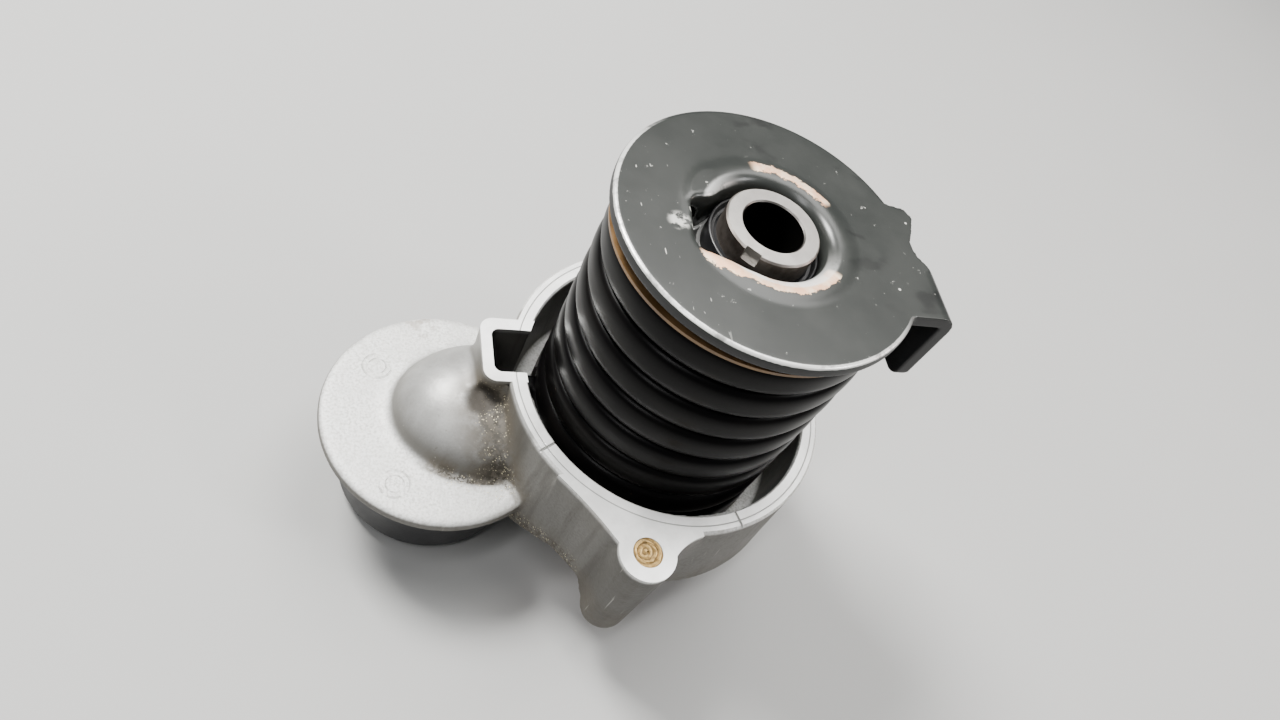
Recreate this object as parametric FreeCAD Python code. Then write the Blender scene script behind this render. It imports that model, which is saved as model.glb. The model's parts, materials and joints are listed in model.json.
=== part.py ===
import FreeCAD, Part

import math
import os

# Belt tensioner idler, millimetres.
# Z is the pivot axis, +Z leaves the base plate towards the engine.
# z = 0 is the flat top of the base plate. The pulley axis is on the -X side.

V = FreeCAD.Vector
UP = V(0, 0, 1)

# Base plate
PLATE_R = 35.0
PLATE_T = 3.0
COLLAR_RISE = 0.6
COLLAR_IN_R = 16.4
COLLAR_OUT_R = 17.8
COLLAR_FOOT_R = 19.6
WELL_R = 12.8
WELL_WALL = 3.0
WELL_FLOOR_Z = -9.0
NECK_END_Z = -12.0
TAB_OUT_X = 40.0
TAB_BEND = 4.2
TAB_T = 3.2
TAB_Y0 = -20.3
TAB_Y1 = -6.0
TAB_DROP = 22.5

# Pivot tube and what holds it
TUBE_R = 10.7
TUBE_BORE_R = 7.0
TUBE_TOP_Z = 0.6
TUBE_END_Z = -99.0
BUSH_WALL = 1.85
RUN_FIT = 0.05

# Torsion spring
SPRING_OUT_R = 33.0
WIRE_W = 5.5
WIRE_H = 8.6
PITCH = 9.3
TOP_END_DEG = 2.0
LOW_END_DEG = 174.0
TOP_END_Z = -3.1
SPRING_TURNS = 7.0 + (TOP_END_DEG + 360.0 - LOW_END_DEG) / 360.0

# Arm casting: spring cup
RIM_Z = -59.5
CUP_RIM_R = 42.2
CUP_FOOT_R = 43.7
CUP_IN_R = 37.8
LEDGE_IN_R = 36.5
LEDGE_DROP = 2.5
CUP_FLOOR_Z = -83.2
CUP_UNDER_Z = -86.6
SKIRT_Z = -95.0
SKIRT_IN_R = 40.2
HUB_R = 18.5
HUB_TOP_Z = -13.5

# Arm casting: spring pocket, lug and pulley arm
POCKET_Y = (0.0, 12.6)
POCKET_X = -45.7
BOX_Y = (-2.7, 15.8)
BOX_X = -48.4
LUG = (-14.14, -46.56)
LUG_R = 7.0
LUG_END_Z = -96.0
PLUG_R = 3.65
ARM_LEN = 53.9
DISC_R = 30.7
DISC_TOP_Z = -80.6
DISC_T = 4.0
DOME_AT = (-44.9, 0.6)
DOME_SIZE = (22.5, 19.0, 14.5)
PADS = ((-70.5, 13.6), (-66.6, -19.6))
PAD_R = 3.8

# Pulley and bearing
PULLEY_R = 24.0
PULLEY_TOP_Z = -88.0
PULLEY_END_Z = -108.5
BEARING_Z = -98.0
BEARING_W = 12.0
RACE_OUT_R = 20.0
RACE_IN_R = 8.5
BALL_R = 3.35
BALL_PITCH_R = 14.25
BALLS = 8
BOLT_R = 4.0


def save(name, shape):
    """Write one closed solid or group of solids as its own STEP file."""
    shape.exportStep("parts/" + name + ".step")


def polar(radius, degrees, z=0.0):
    """Point at a radius and angle about the pivot axis."""
    a = math.radians(degrees)
    return V(radius * math.cos(a), radius * math.sin(a), z)


def loop(steps):
    """Closed wire from points; a pair of points is an arc's middle and end."""
    first = steps[0]
    here = first
    edges = []
    for step in steps[1:] + [first]:
        if isinstance(step, tuple):
            edges.append(Part.Arc(here, step[0], step[1]).toShape())
            here = step[1]
        elif here.distanceToPoint(step) > 1e-6:
            edges.append(Part.makeLine(here, step))
            here = step
    return Part.Wire(edges)


def turned(steps):
    """Solid of revolution about Z from (radius, height) steps."""
    def at(p):
        return V(p[0], 0, p[1])
    wire = loop([at(s) if not isinstance(s[0], tuple) else (at(s[0]), at(s[1])) for s in steps])
    return Part.Face(wire).revolve(V(0, 0, 0), UP, 360)


def prism(points, z0, z1):
    """Upright solid over a plan outline."""
    def at(p):
        return V(p[0], p[1], z0)
    wire = loop([at(s) if not isinstance(s[0], tuple) else (at(s[0]), at(s[1])) for s in points])
    return Part.Face(wire).extrude(V(0, 0, z1 - z0))


def cyl(radius, z0, z1, x=0.0, y=0.0):
    """Upright cylinder."""
    return Part.makeCylinder(radius, z1 - z0, V(x, y, z0))


def ring(r_in, r_out, z0, z1, x=0.0, y=0.0):
    """Upright ring."""
    return cyl(r_out, z0, z1, x, y).cut(cyl(r_in, z0, z1, x, y))


def box(x0, x1, y0, y1, z0, z1):
    """Box between two corners."""
    return Part.makeBox(x1 - x0, y1 - y0, z1 - z0, V(x0, y0, z0))


def upright_edges(shape, test):
    """Straight edges along Z whose plan position passes a test."""
    found = []
    for e in shape.Edges:
        a = e.Vertexes[0].Point
        b = e.Vertexes[-1].Point
        if abs(a.x - b.x) + abs(a.y - b.y) < 1e-6 and abs(a.z - b.z) > 0.5 and test(a):
            found.append(e)
    return found


def helix_band(r_in, r_out, low, high, turns, start_z, start_deg, crown=0.0):
    """Band of flat wire wound up a right-handed helix.

    low and high are its bottom and top, measured from the path's height.
    """
    path = Part.makeHelix(PITCH, PITCH * turns, SPRING_OUT_R)
    soft = 1.1 if crown else 0.0
    if crown:
        steps = [
            V(r_in, 0, low + soft),
            V(r_in, 0, high - soft),
            (V(r_in + 0.32, 0, high - 0.32), V(r_in + soft, 0, high)),
            V(r_out - 2.5, 0, high),
            (V(r_out - 1.45, 0, high - 0.4), V(r_out - crown, 0, high - 1.5)),
            (V(r_out, 0, (low + high) / 2), V(r_out - crown, 0, low + 1.5)),
            (V(r_out - 1.45, 0, low + 0.4), V(r_out - 2.5, 0, low)),
            V(r_in + soft, 0, low),
            (V(r_in + 0.32, 0, low + 0.32), V(r_in, 0, low + soft)),
        ]
    else:
        steps = [V(r_in, 0, low), V(r_out, 0, low), V(r_out, 0, high), V(r_in, 0, high)]
    section = loop(steps)
    sweep = Part.BRepOffsetAPI.MakePipeShell(path)
    sweep.setFrenetMode(True)
    sweep.add(section)
    sweep.build()
    sweep.makeSolid()
    band = sweep.shape()
    if band.Volume < 0:
        band.reverse()
    band.rotate(V(0, 0, 0), UP, start_deg)
    band.translate(V(0, 0, start_z))
    return band


# ---------------------------------------------------------------- base body

def base_plate():
    """Stamped disc with a raised collar, a drawn well, an ear and a bent tab."""
    top = COLLAR_RISE
    roll = COLLAR_IN_R - WELL_R
    half = roll * (1 - math.sqrt(0.5))
    neck_r = WELL_R + WELL_WALL
    plate = turned([
        (WELL_R, WELL_FLOOR_Z),
        (WELL_R, top - roll),
        ((WELL_R + half, top - half), (COLLAR_IN_R, top)),
        (COLLAR_OUT_R, top),
        (COLLAR_FOOT_R, 0.0),
        (PLATE_R - 1.0, 0.0),
        ((PLATE_R - 0.3, -0.3), (PLATE_R, -1.0)),
        (PLATE_R, -PLATE_T + 0.7),
        ((PLATE_R - 0.2, -PLATE_T + 0.2), (PLATE_R - 0.7, -PLATE_T)),
        (neck_r + 3.0, -PLATE_T),
        ((neck_r + 0.88, -PLATE_T - 0.88), (neck_r, -PLATE_T - 3.0)),
        (neck_r, NECK_END_Z),
        (TUBE_R, NECK_END_Z),
        (TUBE_R, WELL_FLOOR_Z),
    ])
    plate = plate.fuse(ear()).fuse(bent_tab()).fuse(spring_lug())
    return plate.cut(well_mouth()).removeSplitter()


def ear():
    """Small flat ear over the end of the spring."""
    flat = prism([(30, 12.4), (36.9, 11.1), (38.5, 8.6), (36.9, 4.6), (35.0, 0.8), (30, 0.4)], -PLATE_T, 0)
    return flat.makeFillet(1.0, upright_edges(flat, lambda p: p.x > 36))


def bent_tab():
    """Anti-rotation tab: a tongue of the plate turned down at its edge."""
    x1 = TAB_OUT_X
    x0 = x1 - TAB_T
    bend = TAB_BEND
    half = bend * (1 - math.sqrt(0.5))
    profile = loop([
        V(26, TAB_Y0, 0),
        V(x1 - bend, TAB_Y0, 0),
        (V(x1 - half, TAB_Y0, -half), V(x1, TAB_Y0, -bend)),
        V(x1, TAB_Y0, -TAB_DROP),
        V(x0, TAB_Y0, -TAB_DROP),
        V(x0, TAB_Y0, -PLATE_T - 0.8),
        (V(x0 - 0.24, TAB_Y0, -PLATE_T - 0.24), V(x0 - 0.8, TAB_Y0, -PLATE_T)),
        V(26, TAB_Y0, -PLATE_T),
    ])
    tab = Part.Face(profile).extrude(V(0, TAB_Y1 - TAB_Y0, 0))
    low = [
        e for e in tab.Edges
        if abs(e.Vertexes[0].Point.z + TAB_DROP) < 1e-6
        and abs(e.Vertexes[-1].Point.z + TAB_DROP) < 1e-6
        and abs(e.Vertexes[0].Point.y - e.Vertexes[-1].Point.y) < 1e-6
    ]
    tab = tab.makeFillet(3.0, low)
    shoulder = prism([(26, -7), (37.4, -7), (37.4, -6.0), (35.4, -3.0), (34.9, 1.0), (26, 1.0)], -PLATE_T, 0)
    return tab.fuse(shoulder)


def spring_lug():
    """Down-turned stop that the spring's upper end bears against."""
    lug = box(33.4, 36.9, -2.8, 0.5, -9.5, -PLATE_T + 0.5)
    return lug.makeFillet(0.6, upright_edges(lug, lambda p: True))


def well_mouth():
    """Pointed relief on the pulley side of the well."""
    cut = prism([
        (-8.0, 10.4),
        (-12.4, 6.9),
        (-17.6, 5.4),
        (-18.6, -5.5),
        (-17.3, -7.6),
        (-7.5, -12.0),
    ], WELL_FLOOR_Z - 0.5, 2)
    cut = cut.makeFillet(0.8, upright_edges(cut, lambda p: p.x < -12))
    return cut.cut(cyl(WELL_R - 0.1, WELL_FLOOR_Z - 1, WELL_FLOOR_Z))


def pivot_tube():
    """Steel sleeve for the engine bolt, with a small key slot in its top."""
    tube = turned([
        (TUBE_BORE_R, TUBE_END_Z),
        (TUBE_R - 0.5, TUBE_END_Z),
        (TUBE_R, TUBE_END_Z + 0.5),
        (TUBE_R, TUBE_TOP_Z - 0.4),
        (TUBE_R - 0.4, TUBE_TOP_Z),
        (TUBE_BORE_R + 0.3, TUBE_TOP_Z),
        (TUBE_BORE_R, TUBE_TOP_Z - 0.3),
    ])
    slot = box(TUBE_R - 0.9, TUBE_R + 2, -1.8, 1.8, TUBE_TOP_Z - 3.0, TUBE_TOP_Z + 1)
    slot.rotate(V(0, 0, 0), UP, -131)
    return tube.cut(slot)


def seal_ring():
    """Rubber lip ring in the bottom of the well, round the tube."""
    z0 = WELL_FLOOR_Z
    return turned([
        (TUBE_R, z0),
        (WELL_R - 0.1, z0),
        (WELL_R - 0.1, -4.6),
        ((WELL_R - 0.45, -4.15), (WELL_R - 0.8, -4.6)),
        (WELL_R - 1.1, -5.6),
        (TUBE_R + 0.4, -5.6),
        (TUBE_R, -5.0),
    ])


def upper_seat():
    """Nylon seat for the top coil: a helical ramp with a thin outer lip."""
    start = TOP_END_DEG - 356
    z = coil_z(start)
    seat = ring(27.2, 33.4, TOP_END_Z - PITCH + 0.1, -PLATE_T)
    seat = seat.cut(helix_band(26.0, 36.0, -WIRE_H - 3.0, 0.05, 0.985, z, start))
    seat = seat.cut(helix_band(29.5, 36.5, 0.8, 12.0, 0.985, z, start))
    seat = seat.cut(box(26.5, 42, -4.0, 9.0, -20, 0))
    return max(seat.Solids, key=lambda s: s.Volume)


def coil_z(degrees):
    """Height of the wire's top face at an angle down the coil."""
    return TOP_END_Z - PITCH * (TOP_END_DEG - degrees) / 360.0


def washer(z0, z1, r_in, r_out):
    """Plain washer about the pivot."""
    return ring(r_in, r_out, z0, z1)


# ------------------------------------------------------------------- spring

def torsion_spring():
    """Flat-wire spring with an outward tang at each end."""
    start_deg = TOP_END_DEG - 360.0 * SPRING_TURNS
    start_z = TOP_END_Z - PITCH * SPRING_TURNS
    r_in = SPRING_OUT_R - WIRE_W
    coil = helix_band(r_in, SPRING_OUT_R, -WIRE_H, 0.0, SPRING_TURNS, start_z, start_deg, 0.9)
    top = tang(38.6, TOP_END_Z)
    top.rotate(V(0, 0, 0), UP, TOP_END_DEG)
    low = tang(44.2, start_z).mirror(V(0, 0, 0), V(0, 1, 0))
    low.rotate(V(0, 0, 0), UP, LOW_END_DEG)
    return coil.fuse(top).fuse(low)


def tang(reach, z_top):
    """Straight end of the wire, bent out at the end of the coil."""
    leg = box(SPRING_OUT_R - WIRE_W + 0.4, reach, -0.5, 5.0, z_top - WIRE_H + 0.1, z_top - 0.1)
    return leg.makeFillet(1.8, upright_edges(leg, lambda p: p.x > reach - 1 or p.y > 4))


# ----------------------------------------------------------------- arm body

def cup():
    """Spring cup, floor, underside skirt and the hub that rides on the tube."""
    bore = TUBE_R + RUN_FIT + BUSH_WALL
    body = turned([
        (bore, SKIRT_Z),
        (HUB_R, SKIRT_Z),
        (HUB_R + 0.8, CUP_UNDER_Z),
        (SKIRT_IN_R - 1.0, CUP_UNDER_Z),
        (SKIRT_IN_R, SKIRT_Z),
        (CUP_FOOT_R - 1.2, SKIRT_Z),
        ((CUP_FOOT_R - 0.35, SKIRT_Z + 0.35), (CUP_FOOT_R, SKIRT_Z + 1.2)),
        (CUP_RIM_R, RIM_Z - 0.5),
        (CUP_RIM_R - 0.5, RIM_Z),
        (CUP_IN_R + 0.4, RIM_Z),
        (CUP_IN_R, RIM_Z - 0.4),
        (CUP_IN_R, CUP_FLOOR_Z + 2.0),
        ((CUP_IN_R - 0.6, CUP_FLOOR_Z + 0.6), (CUP_IN_R - 2.0, CUP_FLOOR_Z)),
        (HUB_R + 4.0, CUP_FLOOR_Z),
        ((HUB_R + 1.4, CUP_FLOOR_Z + 1.1), (HUB_R + 0.2, CUP_FLOOR_Z + 4.0)),
        (HUB_R - 0.6, HUB_TOP_Z),
        (bore, HUB_TOP_Z),
    ])
    step = ring(LEDGE_IN_R, CUP_IN_R + 1, CUP_FLOOR_Z, RIM_Z - LEDGE_DROP)
    return body.fuse(step.common(sector(-172, -74.5, 60, -100, 0)))


def sector(deg0, deg1, radius, z0, z1):
    """Upright wedge between two angles."""
    middle = (deg0 + deg1) / 2
    arc = (polar(radius, middle), polar(radius, deg1))
    low = V(0, 0, z0)
    wire = loop([low, V(*polar(radius, deg0, z0)), (arc[0] + low, arc[1] + low)])
    return Part.Face(wire).extrude(V(0, 0, z1 - z0))


def ribs():
    """Radial ribs under the cup floor, between hub and skirt."""
    rib = box(HUB_R - 0.5, SKIRT_IN_R + 0.3, -1.4, 1.4, SKIRT_Z + 2.0, CUP_UNDER_Z + 0.5)
    parts = []
    for deg in (-125, -85, -45, -5, 35, 75, 115):
        one = rib.copy()
        one.rotate(V(0, 0, 0), UP, deg)
        parts.append(one)
    return parts


def lug():
    """Side lug with a boss, blended into the cup wall."""
    x, y = LUG
    boss = Part.makeCone(LUG_R - 0.9, LUG_R, RIM_Z - LUG_END_Z, V(x, y, LUG_END_Z))
    low = [e for e in boss.Edges if e.BoundBox.ZMax < LUG_END_Z + 0.1]
    boss = boss.makeFillet(3.0, low)
    web = prism([
        (-31.5, -27.0),
        (-33.0, -27.4),
        ((-26.6, -35.2), (-20.7, -44.0)),
        (-14.1, -46.0),
        (-7.6, -48.0),
        ((-3.6, -44.6), (0.6, -42.9)),
        (0.5, -41.4),
        ((-16.9, -37.8), (-31.5, -27.0)),
    ], SKIRT_Z + 2.5, RIM_Z)
    return boss.fuse(web)


def pocket_box():
    """Outer walls of the spring-end pocket on the pulley side."""
    block = box(BOX_X, -34.0, BOX_Y[0], BOX_Y[1], DISC_TOP_Z - DISC_T + 0.4, RIM_Z)
    return block.makeFillet(3.4, upright_edges(block, lambda p: p.x < -45))


def pocket():
    """Space inside the spring-end pocket."""
    block = box(POCKET_X, -30.0, POCKET_Y[0], POCKET_Y[1], CUP_FLOOR_Z, RIM_Z + 1)
    return block.makeFillet(2.0, upright_edges(block, lambda p: p.x < -44))


def disc():
    """Round backing disc over the pulley."""
    z0 = DISC_TOP_Z - DISC_T
    plate = cyl(DISC_R, z0, DISC_TOP_Z, -ARM_LEN)
    round_edges = [e for e in plate.Edges if e.Closed and e.Length > 10]
    return plate.makeFillet(1.5, round_edges)


def dome():
    """Bulge that backs the pulley bolt's thread."""
    half = Part.makeSphere(1.0, V(0, 0, 0), UP, 0, 90, 360)
    size = FreeCAD.Matrix()
    size.scale(DOME_SIZE[0], DOME_SIZE[1], DOME_SIZE[2])
    half = half.transformGeometry(size)
    half.translate(V(DOME_AT[0], DOME_AT[1], DISC_TOP_Z - 0.01))
    return half


def arm_casting():
    """The whole aluminium arm in one casting."""
    inside = cyl(CUP_IN_R, CUP_FLOOR_Z, 0).cut(cyl(HUB_R + 5, -100, 0))
    seat_z = BEARING_Z + BEARING_W / 2
    outer = disc().fuse(dome()).fuse(pocket_box()).fuse(lug())
    seat = cyl(11.2, seat_z, DISC_TOP_Z - 1, -ARM_LEN)
    outer = outer.fuse(seat).cut(inside)
    outer = outer.cut(cyl(CUP_IN_R, CUP_UNDER_Z + 0.1, 0))
    body = cup().fuse(ribs()).fuse(outer)
    body = body.cut(cyl(PULLEY_R + 3.0, -120, seat_z, -ARM_LEN))
    body = body.cut(ring(11.2, PULLEY_R + 3.0, seat_z - 1, CUP_UNDER_Z, -ARM_LEN))
    body = body.cut(pocket())
    for deg in (-149.9, -74.6):
        groove = box(CUP_IN_R - 2, 50, -0.35, 0.35, RIM_Z - 0.8, RIM_Z + 1)
        groove.rotate(V(0, 0, 0), UP, deg)
        body = body.cut(groove)
    for x, y in PADS:
        body = body.cut(ring(PAD_R - 0.4, PAD_R, DISC_TOP_Z - 0.25, DISC_TOP_Z + 1, x, y))
    body = body.cut(cyl(PLUG_R, RIM_Z - 12, RIM_Z + 1, *LUG))
    body = body.cut(cyl(BOLT_R + 0.02, -120, -70.5, -ARM_LEN))
    return body.removeSplitter()


def bush(z0, z1):
    """Plastic-lined bush pressed in the hub, running on the tube."""
    r_in = TUBE_R + RUN_FIT
    return ring(r_in, r_in + BUSH_WALL, z0, z1)


def lug_plug():
    """Brass plug in the lug, its face slightly below the rim."""
    x, y = LUG
    plug = cyl(PLUG_R, RIM_Z - 12, RIM_Z - 0.3, x, y)
    return plug.cut(ring(2.2, 2.6, RIM_Z - 0.5, RIM_Z, x, y)).cut(cyl(0.5, RIM_Z - 0.6, RIM_Z, x, y))


def lower_seat():
    """Helical ramp on the cup floor under the last coil."""
    tall = ring(27.4, 33.2, CUP_FLOOR_Z, CUP_FLOOR_Z + 11.4)
    z = TOP_END_Z - PITCH * SPRING_TURNS
    above = helix_band(26.0, 36.0, -WIRE_H - 0.05, 8.0, 0.985, z, LOW_END_DEG)
    ramp = tall.cut(above).cut(box(-46, -26, 1.8, 10.6, CUP_FLOOR_Z + 1.0, -60))
    return max(ramp.Solids, key=lambda s: s.Volume)


def damper_shoe():
    """Nylon shoe between the spring's lower end and the pocket wall."""
    shoe = box(-45.4, -38.4, POCKET_Y[0] + 0.15, 3.3, CUP_FLOOR_Z, -64.5)
    return shoe.makeFillet(1.9, upright_edges(shoe, lambda p: p.x < -44 and p.y < 1))


# --------------------------------------------------------- pulley and bearing

def grooved(r_in, r_out):
    """Bearing race with a ball groove."""
    half = BEARING_W / 2
    race = ring(r_in, r_out, BEARING_Z - half, BEARING_Z + half)
    return race.cut(Part.makeTorus(BALL_PITCH_R, BALL_R + 0.07, V(0, 0, BEARING_Z), UP))


def seal(z0):
    """Thin shield fixed in the outer race."""
    return ring(12.0, 17.0, z0, z0 + 0.8)


def ball_group():
    """The balls, evenly spaced."""
    balls = []
    for i in range(BALLS):
        p = polar(BALL_PITCH_R, 360.0 * i / BALLS, BEARING_Z)
        balls.append(Part.makeSphere(BALL_R, p))
    return Part.makeCompound(balls)


def cage():
    """Ring with one open hole round each ball."""
    body = ring(BALL_PITCH_R - 0.9, BALL_PITCH_R + 0.9, BEARING_Z - 4.2, BEARING_Z + 4.2)
    for i in range(BALLS):
        way = polar(1.0, 360.0 * i / BALLS)
        start = polar(BALL_PITCH_R - 3, 360.0 * i / BALLS, BEARING_Z)
        body = body.cut(Part.makeCylinder(BALL_R + 0.06, 6, start, way))
    return body


def pulley_rim():
    """Smooth belt pulley pressed on the outer race."""
    z0 = PULLEY_END_Z
    z1 = PULLEY_TOP_Z
    mid = BEARING_W / 2
    return turned([
        (RACE_OUT_R, BEARING_Z - mid),
        (RACE_OUT_R, BEARING_Z + mid),
        (19.0, BEARING_Z + mid),
        (19.0, BEARING_Z + mid + 1.0),
        (21.0, z1),
        (PULLEY_R - 0.8, z1),
        ((PULLEY_R - 0.23, z1 - 0.23), (PULLEY_R, z1 - 0.8)),
        (PULLEY_R, z0 + 0.8),
        ((PULLEY_R - 0.23, z0 + 0.23), (PULLEY_R - 0.8, z0)),
        (RACE_OUT_R + 0.6, z0),
        (RACE_OUT_R, z0 + 0.6),
    ])


def dust_cap():
    """Snap-in cover over the bolt head."""
    z = PULLEY_END_Z
    return turned([
        (0, z - 3.6),
        (12.0, z - 3.6),
        (17.0, z - 1.2),
        (RACE_OUT_R, z - 1.2),
        (RACE_OUT_R, z + 3.0),
        (RACE_OUT_R - 1.2, z + 3.0),
        (RACE_OUT_R - 1.2, z),
        (16.2, z),
        (11.6, z - 2.4),
        (0, z - 2.4),
    ])


def pulley_bolt():
    """Flanged hex bolt up through the bearing into the dome."""
    seat = BEARING_Z - BEARING_W / 2
    shank = cyl(BOLT_R, seat, -71.5)
    flange = cyl(10.4, seat - 1.6, seat)
    corners = [polar(7.5, 60 * i) for i in range(6)]
    head = prism([(p.x, p.y) for p in corners], seat - 6.6, seat - 1.6)
    bolt = shank.fuse(flange).fuse(head)
    return bolt.cut(cyl(2.6, seat - 7, seat - 4.6))


def spacer():
    """Sleeve that centres the bearing on the bolt."""
    half = BEARING_W / 2
    return ring(BOLT_R + 0.03, RACE_IN_R, BEARING_Z - half, BEARING_Z + half)


def at_pulley(shape):
    """Move a part built on the pivot axis to the pulley axis."""
    moved = shape.copy()
    moved.translate(V(-ARM_LEN, 0, 0))
    return moved


os.makedirs("parts", exist_ok=True)

save("base_plate", base_plate())
save("pivot_tube", pivot_tube())
save("seal_ring", seal_ring())
save("upper_spring_seat", upper_seat())
save("upper_thrust_washer", washer(HUB_TOP_Z + 0.1, NECK_END_Z, TUBE_R, 16.0))
save("lower_thrust_washer", washer(SKIRT_Z - 1.3, SKIRT_Z - 0.1, TUBE_R, 17.0))
save("retaining_flange", washer(SKIRT_Z - 3.6, SKIRT_Z - 1.3, TUBE_R, 16.0))
save("torsion_spring", torsion_spring())

save("arm_casting", arm_casting())
save("upper_bush", bush(HUB_TOP_Z - 24, HUB_TOP_Z))
save("lower_bush", bush(SKIRT_Z, SKIRT_Z + 24))
save("lug_plug", lug_plug())
save("lower_spring_seat", lower_seat())
save("damper_shoe", damper_shoe())
save("pulley_spacer", at_pulley(spacer()))
save("pulley_bolt", at_pulley(pulley_bolt()))
save("bearing_inner_race", at_pulley(grooved(RACE_IN_R, 11.6)))

save("bearing_outer_race", at_pulley(grooved(17.0, RACE_OUT_R)))
save("bearing_seal_front", at_pulley(seal(BEARING_Z - BEARING_W / 2 + 0.3)))
save("bearing_seal_rear", at_pulley(seal(BEARING_Z + BEARING_W / 2 - 1.1)))
save("pulley_rim", at_pulley(pulley_rim()))
save("dust_cap", at_pulley(dust_cap()))

save("bearing_balls", at_pulley(ball_group()))
save("bearing_cage", at_pulley(cage()))
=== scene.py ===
import bpy
import bmesh
import json
import math
import numpy as np
from mathutils import Matrix, Vector


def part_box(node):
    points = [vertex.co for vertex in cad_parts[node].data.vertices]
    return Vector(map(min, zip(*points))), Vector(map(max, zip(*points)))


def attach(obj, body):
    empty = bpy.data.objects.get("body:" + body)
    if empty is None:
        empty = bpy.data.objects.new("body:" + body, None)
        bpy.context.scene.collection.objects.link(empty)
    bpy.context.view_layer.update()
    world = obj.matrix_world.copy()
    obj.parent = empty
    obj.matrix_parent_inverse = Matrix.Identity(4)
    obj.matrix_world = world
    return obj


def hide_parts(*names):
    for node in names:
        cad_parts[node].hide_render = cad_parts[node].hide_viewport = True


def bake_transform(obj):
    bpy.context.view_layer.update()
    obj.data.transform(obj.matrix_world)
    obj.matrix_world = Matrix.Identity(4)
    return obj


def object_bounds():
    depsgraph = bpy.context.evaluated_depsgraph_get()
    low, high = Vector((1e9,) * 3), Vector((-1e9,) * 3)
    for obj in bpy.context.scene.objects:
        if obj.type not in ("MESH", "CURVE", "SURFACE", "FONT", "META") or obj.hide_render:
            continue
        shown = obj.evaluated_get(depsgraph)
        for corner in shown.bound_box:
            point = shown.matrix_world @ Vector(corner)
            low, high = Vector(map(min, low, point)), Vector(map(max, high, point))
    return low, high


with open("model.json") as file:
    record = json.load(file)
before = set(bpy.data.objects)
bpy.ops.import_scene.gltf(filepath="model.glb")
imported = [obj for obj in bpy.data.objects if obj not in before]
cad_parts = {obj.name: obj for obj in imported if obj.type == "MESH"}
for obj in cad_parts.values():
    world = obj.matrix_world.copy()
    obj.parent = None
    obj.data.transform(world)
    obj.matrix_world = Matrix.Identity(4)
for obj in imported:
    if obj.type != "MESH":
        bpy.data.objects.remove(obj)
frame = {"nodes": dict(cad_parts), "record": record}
cad_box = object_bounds()
slots = {part["node"]: part["material_slot"] for part in frame["record"]["subparts"]}

MM = 0.001
LOWEST, HIGHEST = 0, 1


def face_mm(node, side, axis):
    """Where one face of a CAD node's box lies along an axis, in millimetres to two decimals."""
    return round(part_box(node)[side][axis] / MM, 2)


def upright_axis(node):
    """Where a round CAD node's upright axis stands, in metres to five decimals."""
    low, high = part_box(node)
    return tuple(round((low[axis] + high[axis]) / 2, 5) for axis in (0, 1))


# ------------------------------------------------------------ node helpers


def add(tree, kind, inputs=None, **props):
    """New node; inputs may be numbers, colours or other nodes' sockets."""
    node = tree.nodes.new(kind)
    for key, value in props.items():
        setattr(node, key, value)
    for key, value in (inputs or {}).items():
        socket = node.inputs[key]
        if isinstance(value, bpy.types.NodeSocket):
            tree.links.new(value, socket)
        else:
            socket.default_value = value
    return node


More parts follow.
